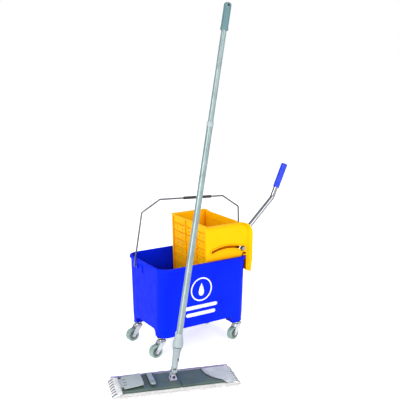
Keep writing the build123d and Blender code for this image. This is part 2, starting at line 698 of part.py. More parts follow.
def headed_pin(plane, radius, half_length, head_r, head_t):
    """A pin centred on a plane, with a flat head beyond each end."""
    with BuildPart() as pin:
        with BuildSketch(plane):
            Circle(radius)
        extrude(amount=half_length, both=True)
        for side in (-1, 1):
            with BuildSketch(plane.offset(side * half_length)):
                Circle(head_r)
            extrude(amount=side * head_t)
    return pin.part


EAR_OUT = EAR_GAP + EAR_T
BASE_EAR_0, BASE_EAR_1 = 10, 15
low_joint = Plane(origin=(LOW_JOINT_X, 0, LOW_JOINT_Z), x_dir=(1, 0, 0), z_dir=(0, -1, 0))
high_joint = Plane(origin=(0, 0, JOINT_RISE), x_dir=(0, 1, 0), z_dir=(1, 0, 0))
save(headed_pin(high_joint, PIN_R, EAR_OUT + 0.3, 5, 1.5), "joint_pin_upper", cross_at)
save(headed_pin(low_joint, PIN_R, BASE_EAR_1, 5, 1.5), "joint_pin_lower", mop_at)

with BuildPart() as base_block:
    with BuildSketch(Plane.XY.offset(FRAME_Z1)):
        with Locations((LOW_JOINT_X, 0)):
            RectangleRounded(27, 30, 4)
    extrude(amount=4)
    for side in (-1, 1):
        with BuildSketch(low_joint.offset(side * BASE_EAR_0)):
            Circle(EAR_R)
            with Locations((0, FRAME_Z1 + 2 - LOW_JOINT_Z)):
                Rectangle(20, 4)
            make_hull()
        extrude(amount=side * (BASE_EAR_1 - BASE_EAR_0))
    with BuildSketch(low_joint):
        Circle(PIN_R)
    extrude(amount=20, both=True, mode=Mode.SUBTRACT)
save(base_block.part, "base_block", mop_at)

# ------------------------------------------------------- folding frame
KNUCKLE_R = (FRAME_Z1 - FRAME_Z0) / 2
SEAM = KNUCKLE_R + 0.5
MIDDLE_HALF = 19.6
fold_plane = Plane(origin=(FOLD_X, 0, FOLD_Z), x_dir=(1, 0, 0), z_dir=(0, -1, 0))
FLAP_LUG_Y, PEDAL_X, PEDAL_Y, PEDAL_Z = 42, -80, 56, 20.5
SMALL_PIN_R = 1.5


def frame_half(x0, x1, outer, ribs):
    """One half of the frame: a skin with a wall round it and ribs beneath."""
    middle, length = (x0 + x1) / 2, abs(x1 - x0)
    with BuildPart() as half:
        with BuildSketch(Plane.XY.offset(FRAME_Z0)):
            with Locations((middle, 0)):
                Rectangle(length, HEAD_W)
        extrude(amount=FRAME_Z1 - FRAME_Z0)
        corners = half.edges().filter_by(Axis.Z).sort_by(Axis.X)
        fillet(corners[:2] if outer < middle else corners[-2:], 14)
        with BuildSketch(Plane.XY.offset(FRAME_Z0)):
            with Locations((middle, 0)):
                Rectangle(length - 6, HEAD_W - 6)
            for x in ribs:
                with Locations((x, 0)):
                    Rectangle(3, HEAD_W, mode=Mode.SUBTRACT)
            Rectangle(2 * HEAD_L, 3, mode=Mode.SUBTRACT)
        extrude(amount=5.5, mode=Mode.SUBTRACT)
    return half.part


left_skin = frame_half(-HEAD_L / 2, FOLD_X - SEAM, -HEAD_L / 2, (-150, -110, -70, -30))
right_skin = frame_half(FOLD_X + SEAM, HEAD_L / 2, HEAD_L / 2, (60, 100, 140))

with BuildPart() as frame_left:
    add(left_skin)
    for y in (-1, 1):
        with BuildSketch(fold_plane.offset(y * 20)):
            Circle(KNUCKLE_R)
            with Locations((-SEAM / 2, 0)):
                Rectangle(SEAM, 2 * KNUCKLE_R)
        extrude(amount=y * 30)
    with BuildSketch(fold_plane):
        Circle(2)
    extrude(amount=60, both=True, mode=Mode.SUBTRACT)
    # Lugs on top for the clamp flap's pin and the pedal's pin.
    for y in (-1, 1):
        with BuildSketch(Plane.XZ.offset(y * FLAP_LUG_Y)):
            with Locations((FLAP_X, FLAP_Z)):
                Circle(3.2)
            with Locations((FLAP_X, FRAME_Z1 - 0.5)):
                Rectangle(9, 1)
            make_hull()
        extrude(amount=y * 4)
    for x in (-1, 1):
        with BuildSketch(Plane.YZ.offset(PEDAL_X + x * 10)):
            with Locations((PEDAL_Y - 4, PEDAL_Z)):
                Circle(3.2)
            with Locations((PEDAL_Y - 4, FRAME_Z1 - 0.5)):
                Rectangle(9, 1)
            make_hull()
        extrude(amount=x * 3.5)
    with BuildSketch(Plane.XZ):
        with Locations((FLAP_X, FLAP_Z)):
            Circle(SMALL_PIN_R)
    extrude(amount=60, both=True, mode=Mode.SUBTRACT)
    with BuildSketch(Plane.YZ.offset(PEDAL_X)):
        with Locations((PEDAL_Y - 4, PEDAL_Z)):
            Circle(SMALL_PIN_R)
    extrude(amount=25, both=True, mode=Mode.SUBTRACT)
save(frame_left.part, "frame_left", mop_at)

with BuildPart() as frame_right:
    add(right_skin)
    with BuildSketch(fold_plane):
        Circle(KNUCKLE_R)
        with Locations((SEAM / 2, 0)):
            Rectangle(SEAM, 2 * KNUCKLE_R)
    extrude(amount=MIDDLE_HALF, both=True)
    with BuildSketch(fold_plane):
        Circle(2 + BORE_FIT)
    extrude(amount=60, both=True, mode=Mode.SUBTRACT)
save(frame_right.part, "frame_right", mop_at)

with BuildPart() as fold_pin:
    with BuildSketch(fold_plane):
        Circle(2)
    extrude(amount=50, both=True)
save(fold_pin.part, "fold_pin", mop_at)

# ------------------------------------------------- clamp flap and foot pedal
FLAP_L, FLAP_W, FLAP_T = 75, 90, 3
flap_at = mop_at * Location((FLAP_X, 0, FLAP_Z), (0, -FLAP_TILT, 0))
lip_drop = FLAP_Z + (FLAP_L - 3) * sin(radians(FLAP_TILT)) - FRAME_Z1 - 0.8

with BuildPart() as clamp_flap:
    with BuildSketch(Plane.XY.offset(-FLAP_T / 2)):
        with Locations((FLAP_L / 2, 0)):
            Rectangle(FLAP_L, FLAP_W)
        with Locations((0, 45), (0, -45)):
            Rectangle(14, 24, mode=Mode.SUBTRACT)
    extrude(amount=FLAP_T)
    fillet(clamp_flap.edges().filter_by(Axis.Z).sort_by(Axis.X)[-2:], 10)
    with BuildSketch(Plane.XZ):
        Circle(3)
    extrude(amount=32, both=True)
    with BuildSketch(Plane.XZ):
        with Locations((FLAP_L - 1.5, -lip_drop / 2)):
            Rectangle(3, lip_drop)
    extrude(amount=34, both=True)
    with BuildSketch(Plane.XZ):
        Circle(SMALL_PIN_R + BORE_FIT)
    extrude(amount=60, both=True, mode=Mode.SUBTRACT)
    with BuildSketch(Plane.XY.offset(-FLAP_T)):
        for y in (-20, 0, 20):
            with Locations((14, y)):
                SlotOverall(14, 5)
    extrude(amount=2 * FLAP_T, mode=Mode.SUBTRACT)
save(clamp_flap.part, "clamp_flap", flap_at)

with BuildPart() as flap_pin:
    with BuildSketch(Plane.XZ.offset(0)):
        Circle(SMALL_PIN_R)
    extrude(amount=FLAP_LUG_Y + 4, both=True)
save(flap_pin.part, "flap_pin", mop_at * Location((FLAP_X, 0, FLAP_Z)))

PEDAL_W, PEDAL_L, PEDAL_TILT = 18, 96, 4
pedal_at = mop_at * Location((PEDAL_X, PEDAL_Y - 4, PEDAL_Z), (-PEDAL_TILT, 0, 0))
with BuildPart() as foot_pedal:
    with BuildSketch(Plane.XY.offset(-1.5)):
        with Locations((0, -PEDAL_L / 2)):
            Rectangle(PEDAL_W, PEDAL_L)
    extrude(amount=3.5)
    fillet(foot_pedal.edges().filter_by(Axis.Z).sort_by(Axis.Y)[:2], 6)
    with BuildSketch(Plane.YZ):
        Circle(3)
    extrude(amount=PEDAL_W / 2, both=True)
    with BuildSketch(Plane.YZ):
        Circle(SMALL_PIN_R + BORE_FIT)
    extrude(amount=30, both=True, mode=Mode.SUBTRACT)
    for y in (-84, -76, -68):
        with BuildSketch(Plane.XY.offset(2)):
            with Locations((0, y)):
                SlotOverall(12, 3)
        extrude(amount=1)
save(foot_pedal.part, "foot_pedal", pedal_at)

with BuildPart() as pedal_pin:
    with BuildSketch(Plane.YZ):
        Circle(SMALL_PIN_R)
    extrude(amount=PEDAL_W / 2 + 4.5, both=True)
save(pedal_pin.part, "pedal_pin", mop_at * Location((PEDAL_X, PEDAL_Y - 4, PEDAL_Z)))

# ------------------------------------------------------------------- mop cloth
POCKET_W, POCKET_TOP = 126, 20.5
FIT = 0.4


def cloth_half(x0, x1, pocket_x0, pocket_x1):
    """One half of the mop cloth: a thick pad, and a pocket over the frame's end."""
    with BuildPart() as half:
        with BuildSketch(Plane.XY):
            with Locations(((x0 + x1) / 2, 0)):
                Rectangle(abs(x1 - x0), CLOTH_W)
        extrude(amount=CLOTH_T)
        with BuildSketch(Plane.XY.offset(CLOTH_T)):
            with Locations(((pocket_x0 + pocket_x1) / 2, 0)):
                Rectangle(abs(pocket_x1 - pocket_x0), POCKET_W)
        extrude(amount=POCKET_TOP - CLOTH_T)
        with BuildSketch(Plane.XY.offset(CLOTH_T)):
            Rectangle(HEAD_L + 2 * FIT, HEAD_W + 2 * FIT)
        extrude(amount=FRAME_Z1 + FIT - CLOTH_T, mode=Mode.SUBTRACT)
    return half.part


CLOTH_GAP = 12
save(cloth_half(-CLOTH_L / 2, FOLD_X - CLOTH_GAP, -CLOTH_L / 2 + 5, -HEAD_L / 2 + 8), "mop_cloth_left", mop_at)
save(cloth_half(FOLD_X + CLOTH_GAP, CLOTH_L / 2, HEAD_L / 2 - 75, CLOTH_L / 2 - 5), "mop_cloth_right", mop_at)
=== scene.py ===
"""A flat mop beside a wheeled bucket with a plate-press wringer: materials, soft pieces and studio."""

import json
from math import atan2, cos, pi, radians, sin

import bpy
import bmesh
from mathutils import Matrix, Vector, noise


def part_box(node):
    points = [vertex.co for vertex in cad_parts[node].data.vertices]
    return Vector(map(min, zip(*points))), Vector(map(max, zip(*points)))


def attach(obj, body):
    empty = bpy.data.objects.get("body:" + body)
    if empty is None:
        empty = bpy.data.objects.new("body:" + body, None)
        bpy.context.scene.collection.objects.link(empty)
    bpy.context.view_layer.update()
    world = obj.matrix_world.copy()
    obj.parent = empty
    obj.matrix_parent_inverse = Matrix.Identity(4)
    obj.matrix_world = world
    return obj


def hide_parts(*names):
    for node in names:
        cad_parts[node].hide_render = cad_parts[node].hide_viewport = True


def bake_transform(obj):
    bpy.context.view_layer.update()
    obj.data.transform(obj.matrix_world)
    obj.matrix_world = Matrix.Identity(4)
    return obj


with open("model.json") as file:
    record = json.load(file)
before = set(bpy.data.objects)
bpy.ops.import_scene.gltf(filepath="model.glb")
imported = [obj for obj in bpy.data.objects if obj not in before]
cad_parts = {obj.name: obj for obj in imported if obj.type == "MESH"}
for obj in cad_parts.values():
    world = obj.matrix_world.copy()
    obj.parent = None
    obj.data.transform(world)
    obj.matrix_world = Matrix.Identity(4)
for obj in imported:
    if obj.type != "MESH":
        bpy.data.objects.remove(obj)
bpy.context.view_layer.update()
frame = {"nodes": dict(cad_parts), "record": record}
nodes = frame["nodes"]
joints = {joint["name"]: joint for joint in frame["record"]["behaviour"]["joints"]}
scene = bpy.context.scene

# ------------------------------------------------------------ driving sizes, in metres and degrees
CAMERA_FROM_BUCKET = (-1.4368, -2.3830, 0.8487)
AZIMUTH, ELEVATION, LENS = -32.1, 12.2, 66.4
CARD_PHASE = 3.5

# The mop's head: U runs along it and N across it, both from the middle of the cloth.
FOLD_U = 0.014
CLOTH_L, CLOTH_W = 0.430, 0.150
FRAME_L, FRAME_W = 0.400, 0.110
CLOTH_TOP, BACK_CURL = 0.0082, 0.0105
POCKET_END, POCKET_L, POCKET_W = 0.2105, 0.0215, 0.126
MOUTH_U, MOUTH_SWEEP = 0.110, 0.065

# Yarn: radii, the lowest that a strand's middle may lie, and how the end tufts are bunched.
LOOP_R, TUFT_R, HEM_R, PIPING_R, SEAM_R = 0.00125, 0.00115, 0.00110, 0.0014, 0.00035
YARN_LOW = 0.0019
LOOP_COUNT, LOOP_ROWS = 300, (0.0068, 0.0042, 0.0022)
TUFT_COUNT, TUFT_PITCH, STRAND_PITCH, LAYER_STEP = 8, 0.0186, 0.0019, 0.0016

# The bucket's near wall, from its foot up, and the badge on it.
WALL_FOOT, WALL_RISE, WALL_LEAN, WALL_OUT = 0.101, 0.247, 0.010, 0.1275
BADGE_LEFT, BADGE_Z, PRINT_T = 0.019, 0.247, 0.0003

BLUE, BLUE_DEEP = (0.0015, 0.020, 0.88), (0.001, 0.012, 0.68)
YELLOW, ORANGE = (1.0, 0.52, 0.001), (1.0, 0.46, 0.001)
TEAL, TEAL_DARK = (0.125, 0.235, 0.255), (0.085, 0.165, 0.185)
SLATE, SLATE_DARK = (0.088, 0.138, 0.118), (0.043, 0.070, 0.062)
PALE, PALE_DARK = (0.36, 0.42, 0.43), (0.26, 0.31, 0.33)
COTTON, COTTON_DARK = (0.86, 0.85, 0.82), (0.66, 0.65, 0.64)


# ==================================================================== materials
class Shader:
    """One procedural material, built up node by node round a Principled shader."""

    def __init__(self, name, roughness, metallic=0.0, **sockets):
        self.material = bpy.data.materials.new(name)
        self.material.use_nodes = True
        self.tree = self.material.node_tree
        self.bsdf = self.tree.nodes["Principled BSDF"]
        self.bsdf.inputs["Roughness"].default_value = roughness
        self.bsdf.inputs["Metallic"].default_value = metallic
        for socket, value in sockets.items():
            self.bsdf.inputs[socket.replace("_", " ")].default_value = value
        coords = self.tree.nodes.new("ShaderNodeTexCoord")
        self.coords = coords.outputs["Object"]
        self.height = None

    def link(self, a, b):
        self.tree.links.new(a, b)

    def stretched(self, scale, turn=(0, 0, 0)):
        """Object coordinates scaled differently along each axis."""
        mapping = self.tree.nodes.new("ShaderNodeMapping")
        mapping.inputs["Scale"].default_value = scale
        mapping.inputs["Rotation"].default_value = turn
        self.link(self.coords, mapping.inputs["Vector"])
        return mapping.outputs["Vector"]

    def noise(self, scale, detail=3.0, vector=None, distortion=0.0):
        node = self.tree.nodes.new("ShaderNodeTexNoise")
        node.inputs["Scale"].default_value = scale
        node.inputs["Detail"].default_value = detail
        node.inputs["Distortion"].default_value = distortion
        self.link(vector or self.coords, node.inputs["Vector"])
        return node.outputs["Fac"]

    def cells(self, scale, vector=None, feature="F1"):
        node = self.tree.nodes.new("ShaderNodeTexVoronoi")
        node.feature = feature
        node.inputs["Scale"].default_value = scale
        self.link(vector or self.coords, node.inputs["Vector"])
        return node.outputs["Distance"]

    def waves(self, scale, axis="X", vector=None, distortion=0.0):
        node = self.tree.nodes.new("ShaderNodeTexWave")
        node.bands_direction = axis
        node.inputs["Scale"].default_value = scale
        node.inputs["Distortion"].default_value = distortion
        self.link(vector or self.coords, node.inputs["Vector"])
        return node.outputs["Fac"]

    def remap(self, value, low, high, to_low=0.0, to_high=1.0):
        node = self.tree.nodes.new("ShaderNodeMapRange")
        for socket, number in zip(("From Min", "From Max", "To Min", "To Max"), (low, high, to_low, to_high)):
            node.inputs[socket].default_value = number
        self.link(value, node.inputs["Value"])
        return node.outputs["Result"]

    def mix(self, factor, a, b):
        """Blends two colours, each a colour or a socket."""
        node = self.tree.nodes.new("ShaderNodeMix")
        node.data_type = "RGBA"
        self.link(factor, node.inputs["Factor"])
        for index, value in ((6, a), (7, b)):
            if isinstance(value, tuple):
                node.inputs[index].default_value = (*value, 1)
            else:
                self.link(value, node.inputs[index])
        return node.outputs[2]

    def product(self, a, b):
        node = self.tree.nodes.new("ShaderNodeMath")
        node.operation = "MULTIPLY"
        for socket, value in zip(node.inputs, (a, b)):
            if isinstance(value, float):
                socket.default_value = value
            else:
                self.link(value, socket)
        return node.outputs[0]

    def colour(self, socket):
        self.link(socket, self.bsdf.inputs["Base Color"])

    def roughness(self, value, low, high):
        self.link(self.remap(value, 0.3, 0.7, low, high), self.bsdf.inputs["Roughness"])

    def bump(self, height, distance, strength=1.0):
        """Adds one layer of relief on top of the ones before it."""
        node = self.tree.nodes.new("ShaderNodeBump")
        node.inputs["Distance"].default_value = distance
        node.inputs["Strength"].default_value = strength
        self.link(height, node.inputs["Height"])
        if self.height is not None:
            self.link(self.height, node.inputs["Normal"])
        self.height = node.outputs["Normal"]
        self.link(self.height, self.bsdf.inputs["Normal"])

    def painted_shade_mask(self, distance, open_at=0.85, shut_at=0.35):
        """How shut in a point is by the surfaces round it, from 0 to 1: the mask for painted shade in corners
        and crevices.
        """
        node = self.tree.nodes.new("ShaderNodeAmbientOcclusion")
        node.samples = 4
        node.inputs["Distance"].default_value = distance
        return self.remap(node.outputs["AO"], open_at, shut_at)

    def soften(self, radius):
        """Rounds hard edges in the shading, and returns how near an edge a point is."""
        bevel = self.tree.nodes.new("ShaderNodeBevel")
        bevel.samples = 4
        bevel.inputs["Radius"].default_value = radius
        self.height = bevel.outputs["Normal"]
        self.link(self.height, self.bsdf.inputs["Normal"])
        geometry = self.tree.nodes.new("ShaderNodeNewGeometry")
        dot = self.tree.nodes.new("ShaderNodeVectorMath")
        dot.operation = "DOT_PRODUCT"
        self.link(bevel.outputs["Normal"], dot.inputs[0])
        self.link(geometry.outputs["Normal"], dot.inputs[1])
        return self.remap(dot.outputs["Value"], 0.98, 0.75)


def moulded_plastic(name, colour, dark, worn, roughness=0.35, edge=0.0012, shade=None, hollow_shade_reach=0.0, **sockets):
    """Injection-moulded plastic: flow marks, fine grain and paler rubbed edges, with painted shade darkening
    its corners, crevices and, where asked, deep hollows.
    """
    shader = Shader(name, roughness, **sockets)
    near_edge = shader.soften(edge)
    clouds = shader.remap(shader.noise(7, 4), 0.35, 0.7)
    body = shader.mix(clouds, colour, dark)
    scuffs = shader.product(near_edge, shader.remap(shader.noise(60, 5), 0.35, 0.6))
    body = shader.mix(shader.product(scuffs, 0.7), body, worn)
    # Painted shade: the colour goes toward the shade colour in corners and crevices, and deep inside hollows
    # when a reach for them is given.
    shade = shade or tuple(0.35 * channel for channel in dark)
    body = shader.mix(shader.painted_shade_mask(0.009), body, shade)
    if hollow_shade_reach:
        body = shader.mix(shader.painted_shade_mask(hollow_shade_reach, 0.52, 0.22), body, shade)
    shader.colour(body)
    shader.roughness(shader.noise(35, 5), roughness * 0.75, roughness * 1.25)
    shader.bump(shader.noise(1400, 2), 0.00008, 0.35)
    shader.bump(shader.noise(14, 2), 0.0008, 0.25)
    return shader.material


def drawn_metal(name, colour, dark, roughness, stretch, metallic=1.0, turn=(0, 0, 0)):
    """Drawn or brushed metal with fine streaks along one direction and a few dull patches."""
    shader = Shader(name, roughness, metallic)
    shader.soften(0.0006)
    streaks = shader.noise(1.0, 4, shader.stretched(stretch, turn))
    patches = shader.noise(22, 4)
    shader.colour(shader.mix(shader.remap(patches, 0.35, 0.7), colour, dark))
    shader.roughness(streaks, roughness * 0.7, roughness * 1.4)
    shader.bump(streaks, 0.00005, 0.3)
    return shader.material


def zinc_plate(name):
    """Zinc plating: pale bluish spangle with faint yellow passivation and scratches."""
    shader = Shader(name, 0.3, 1.0)
    shader.soften(0.0005)
    spangle = shader.cells(220)
    tone = shader.mix(shader.remap(spangle, 0.1, 0.8), (0.72, 0.74, 0.75), (0.50, 0.53, 0.54))
    tone = shader.mix(shader.remap(shader.noise(40, 5), 0.55, 0.75), tone, (0.62, 0.58, 0.46))
    # Painted shade: the plating goes near black in the forks' insides and other recesses.
    shader.colour(shader.mix(shader.painted_shade_mask(0.02), tone, (0.05, 0.06, 0.055)))
    shader.roughness(shader.noise(180, 4), 0.22, 0.42)
    shader.bump(shader.noise(300, 3), 0.00006, 0.4)
    return shader.material


def tyre_rubber(name):
    """Soft grey-green castor rubber: dusty, with a fine moulded grain."""
    shader = Shader(name, 0.6)
    near_edge = shader.soften(0.0008)
    dust = shader.remap(shader.noise(70, 5), 0.4, 0.65)
    body = shader.mix(dust, (0.200, 0.310, 0.255), (0.290, 0.400, 0.345))
    shader.colour(shader.mix(shader.product(near_edge, 0.5), body, (0.42, 0.50, 0.46)))
    shader.roughness(shader.noise(90, 3), 0.45, 0.75)
    shader.bump(shader.noise(900, 2), 0.00012, 0.5)
    return shader.material


def ribbed_grip(name, colour, dark, direction, pitch):
    """Vinyl grip with moulded rings square to its length."""
    shader = Shader(name, 0.42)
    turn = Vector(direction).to_track_quat("X", "Z").inverted().to_euler()
    vector = shader.stretched((1, 1, 1), turn)
    rings = shader.waves(1 / pitch / 3.2, "X", vector)
    shader.soften(0.0008)
    grime = shader.remap(shader.noise(80, 5), 0.4, 0.7)
    shader.colour(shader.mix(grime, colour, dark))
    shader.roughness(shader.noise(150, 3), 0.32, 0.55)
    shader.bump(rings, 0.0009, 0.8)
    shader.bump(shader.noise(1500, 2), 0.00006, 0.4)
    return shader.material


def yarn(name, light, dark, twist=900):
    """Plied cotton yarn: twisted strands, fuzzy and matt, with painted shade darkening it down between them.
    """
    shader = Shader(name, 0.95, Sheen_Weight=0.5, Sheen_Roughness=0.6)
    fibres = shader.noise(twist, 4, distortion=0.4)
    shade = shader.remap(shader.noise(90, 5), 0.3, 0.7)
    # Painted shade: the colour that the yarn takes between strands, where the surfaces round a point shut it
    # in.
    between = tuple(0.22 * channel for channel in dark)
    shader.colour(shader.mix(shader.painted_shade_mask(0.005, 0.62, 0.12), shader.mix(shade, light, dark), between))
    shader.bump(fibres, 0.0007, 0.7)
    shader.bump(shader.waves(420, "DIAGONAL", distortion=2.0), 0.0004, 0.5)
    return shader.material


def woven(name, light, dark, turn, threads=520):
    """Plain-woven cloth: warp and weft at right angles along the mop, with soft creases."""
    shader = Shader(name, 0.9, Sheen_Weight=0.35, Sheen_Roughness=0.5)
    vector = shader.stretched((1, 1, 1), (0, 0, -turn))
    warp = shader.waves(threads, "X", vector, 0.6)
    weft = shader.waves(threads, "Y", vector, 0.6)
    weave = shader.product(warp, weft)
    tone = shader.mix(shader.remap(shader.noise(30, 5), 0.35, 0.7), light, dark)
    shader.colour(shader.mix(shader.remap(weave, 0.0, 0.35, 0.35, 0.0), tone, dark))
    shader.bump(weave, 0.0004, 0.6)
    shader.bump(shader.noise(55, 4), 0.0015, 0.35)
    return shader.material


def paint(material, *names):
    """Gives CAD nodes a material."""
    for name in names:
        data = nodes[name].data
        data.materials.clear()
        data.materials.append(material)


# =================================================================== mop's frame
u_axis = Vector(joints["pedal_press"]["axis"]).normalized()
n_axis = Vector(joints["frame_fold"]["axis"]).normalized()
fold_at = Vector(joints["frame_fold"]["pos_m"])
mop_origin = Vector((fold_at.x, fold_at.y, 0)) - FOLD_U * u_axis
mop_turn = atan2(u_axis.y, u_axis.x)


def on_mop(u, n, z):
    """A point given along the head, across it and up from the floor."""
    return mop_origin + u * u_axis + n * n_axis + Vector((0, 0, z))


def new_object(name, data, material):
    """Adds a piece to the scene with its material."""
    obj = bpy.data.objects.new(name, data)
    scene.collection.objects.link(obj)
    data.materials.append(material)
    return obj


def grid_mesh(name, columns, rows, point):
    """A sheet of quads from a function of two shares, each from 0 to 1."""
    mesh = bpy.data.meshes.new(name)
    verts = [point(i / columns, j / rows) for i in range(columns + 1) for j in range(rows + 1)]
    step = rows + 1
    faces = [
        (i * step + j, (i + 1) * step + j, (i + 1) * step + j + 1, i * step + j + 1)
        for i in range(columns)
        for j in range(rows)
    ]
    mesh.from_pydata(verts, [], faces)
    for polygon in mesh.polygons:
        polygon.use_smooth = True
    return mesh


def add_modifier(obj, kind, **settings):
    modifier = obj.modifiers.new(kind.title(), kind)
    for key, value in settings.items():
        setattr(modifier, key, value)


def applied(obj):
    """Turns a curve or a modified mesh into one plain mesh with its modifiers applied."""
    bpy.context.view_layer.update()
    mesh = bpy.data.meshes.new_from_object(obj.evaluated_get(bpy.context.evaluated_depsgraph_get()))
    made = bpy.data.objects.new(obj.name + "_mesh", mesh)
    scene.collection.objects.link(made)
    for key in obj.keys():
        made[key] = obj[key]
    name = obj.name
    bpy.data.objects.remove(obj)
    made.name = name
    for polygon in mesh.polygons:
        polygon.use_smooth = True
    return made


def strands(name, paths, radius, material, resolution=1):
    """Many short tubes as one mesh, each along its own list of points."""
    curve = bpy.data.curves.new(name, "CURVE")
    curve.dimensions = "3D"
    curve.bevel_depth = radius
    curve.bevel_resolution = resolution
    curve.resolution_u = 3
    curve.use_fill_caps = True
    for path in paths:
        spline = curve.splines.new("NURBS")
        spline.points.add(len(path) - 1)
        for place, point in zip(spline.points, path):
            place.co = (*point, 1)
        spline.order_u = 3
        spline.use_endpoint_u = True
    return applied(new_object(name, curve, material))


def wobble(u, n, size, scale=60, seed=0.0):
    """A smooth repeatable unevenness."""
    return size * noise.noise(Vector((u * scale, n * scale, seed)))


cotton = yarn("mop_yarn", COTTON, COTTON_DARK)
cotton_weave = woven("mop_backing_weave", (0.80, 0.80, 0.79), (0.52, 0.53, 0.55), mop_turn)
pocket_weave = woven("mop_pocket_weave", (0.56, 0.60, 0.63), (0.38, 0.42, 0.46), mop_turn, 700)
# Dark blue-grey yarn: partly blue-grey yarn, partly painted shade for the gaps between the end tufts.
blue_yarn_and_shade = yarn("blue_yarn_and_shade", (0.08, 0.10, 0.20), (0.04, 0.05, 0.12))
hem_thread = yarn("hem_thread", (0.16, 0.11, 0.52), (0.07, 0.05, 0.30), 1500)
piping = woven("dark_piping", (0.020, 0.022, 0.030), (0.008, 0.009, 0.012), mop_turn, 900)


# ===================================================================== mop cloth
def backing_point(s, t):
    """The woven backing: flat under the frame, cockled at its edges and curled up a little at the back."""
    u = (s - 0.5) * (CLOTH_L - 0.004)
    n = (t - 0.5) * (CLOTH_W - 0.006)
    out = max(abs(u) - FRAME_L / 2, 0) / 0.015 + max(abs(n) - FRAME_W / 2, 0) / 0.02
    curl = BACK_CURL * max(0.0, (n - FRAME_W / 2 - 0.002) / 0.018) ** 2
    return on_mop(u, n, CLOTH_TOP - 0.0010 + curl + min(out, 1) * wobble(u, n, 0.0016, 45))


backing_mesh = grid_mesh("backing", 108, 40, backing_point)
backing = new_object("mop_cloth_backing", backing_mesh, cotton_weave)
add_modifier(backing, "SOLIDIFY", thickness=0.0012, offset=-1)
backing = applied(backing)


def pad_outline(s):
    """The pad's edge, a rounded rectangle followed once round, with its outward direction."""
    half_l, half_w, corner = CLOTH_L / 2 - 0.003, CLOTH_W / 2 - 0.003, 0.012
    sides = [2 * (half_l - corner), 2 * (half_w - corner)] * 2
    arc = pi / 2 * corner
    place = s * (sum(sides) + 4 * arc)
    centres = [(1, -1), (1, 1), (-1, 1), (-1, -1)]
    start = Vector((-(half_l - corner), -half_w))
    heading = 0.0
    for side, (cu, cn) in zip(sides, centres):
        step = Vector((cos(heading), sin(heading)))
        outward = Vector((step.y, -step.x))
        if place <= side:
            return start + place * step, outward
        place -= side
        centre = Vector((cu * (half_l - corner), cn * (half_w - corner)))
        if place <= arc:
            turn = heading - pi / 2 + place / corner
            outward = Vector((cos(turn), sin(turn)))
            return centre + corner * outward, outward
        place -= arc
        heading += pi / 2
        start = centre + corner * Vector((cos(heading - pi / 2), sin(heading - pi / 2)))
    return start, outward


def pad_point(s, t):
    """Side wall of the pad: bulges outwards between the backing and the floor."""
    edge, outward = pad_outline(s % 1.0)
    angle = (t - 0.5) * pi
    bulge = 0.0030 * cos(angle) + wobble(edge.x, edge.y + t * 0.03, 0.0022, 130, 3.0)
    place = edge + outward * (bulge - 0.002 - 0.012 * max(0.0, abs(t - 0.5) - 0.42) / 0.08)
    return on_mop(place.x, place.y, 0.0040 - 0.0036 * sin(angle))


pad = new_object("mop_cloth_pile", grid_mesh("pile", 420, 10, pad_point), cotton)


def loops(first, last, count, reach, height, seed):
    """Yarn loops that stick out from under the backing's edge between two shares of its outline."""
    paths = []
    for k in range(count):
        share = (first + (last - first) * (k + 0.5) / count) % 1.0
        edge, outward = pad_outline(share)
        side = Vector((-outward.y, outward.x))
        jitter = noise.noise(Vector((k * 0.73, seed, 0)))
        lift = noise.noise(Vector((k * 0.41, seed, 5)))
        length = reach * (1 + 0.30 * jitter)
        lean = side * (0.0022 * noise.noise(Vector((k * 0.9, seed, 9))))
        base = edge - outward * 0.004
        shape = (
            (-0.0016, 0.0, height),
            (-0.0022, 0.55, height + 0.0012 + 0.0008 * lift),
            (-0.0018, 0.95, height * 0.62),
            (0.0, 1.12, height * 0.40 + 0.0008),
            (0.0018, 0.95, height * 0.62),
            (0.0022, 0.55, height + 0.0012 - 0.0008 * lift),
            (0.0016, 0.0, height),
        )
        paths.append([
            on_mop(*(base + outward * (0.004 + share_out * length) + side * across + lean * share_out),
                   max(z, YARN_LOW))
            for across, share_out, z in shape
        ])
    return paths


loop_paths = []
for row, height in enumerate(LOOP_ROWS):
    shift = row * 0.0009
    loop_paths += loops(shift, 1 + shift, LOOP_COUNT, 0.0052 + 0.0012 * row, height, 11.0 + row)
fringe = strands("mop_cloth_fringe", loop_paths, LOOP_R, cotton)


def tuft_paths(side, bunches, shift, across, layers, lift):
    """Bunches of cut yarn along one end of the cloth, drooping to the floor."""
    paths = []
    for k in range(bunches):
        n0 = (k + shift - (TUFT_COUNT - 1) / 2) * TUFT_PITCH
        for strand in range(across * layers):
            stray = 0.0008 * noise.noise(Vector((k, strand, 1)))
            spread = (strand % across - (across - 1) / 2) * STRAND_PITCH + stray
            layer = strand // across * LAYER_STEP
            droop = noise.noise(Vector((k * 1.7, strand * 0.6, side + 9 * shift)))
            reach = 0.0112 + 0.003 * droop
            start = CLOTH_L / 2 - 0.017
            path = []
            for step in (0, 0.25, 0.5, 0.75, 1):
                z = (0.0110 - layer) * (1 - 0.88 * step**1.8) + (0.0030 + lift) * sin(step * pi)
                u = side * (start + step * (0.014 + reach))
                path.append(on_mop(u, n0 + spread * (0.5 + 0.7 * step), max(YARN_LOW, z)))
            paths.append(path)
    return paths


white_tufts = [path for side in (-1, 1) for path in tuft_paths(side, TUFT_COUNT, 0, 5, 3, 0.0)]
tufts = strands("mop_cloth_tufts", white_tufts, TUFT_R, cotton)
# Thin dark blue-grey bunches between the white ones: partly blue-grey yarn, partly painted shade standing in
# the gaps between bunches.
gap_tuft_paths = [path for side in (-1, 1) for path in tuft_paths(side, TUFT_COUNT - 1, 0.5, 3, 2, 0.0004)]
blue_tufts_and_shade = strands("mop_cloth_marker_tufts", gap_tuft_paths, TUFT_R, blue_yarn_and_shade)


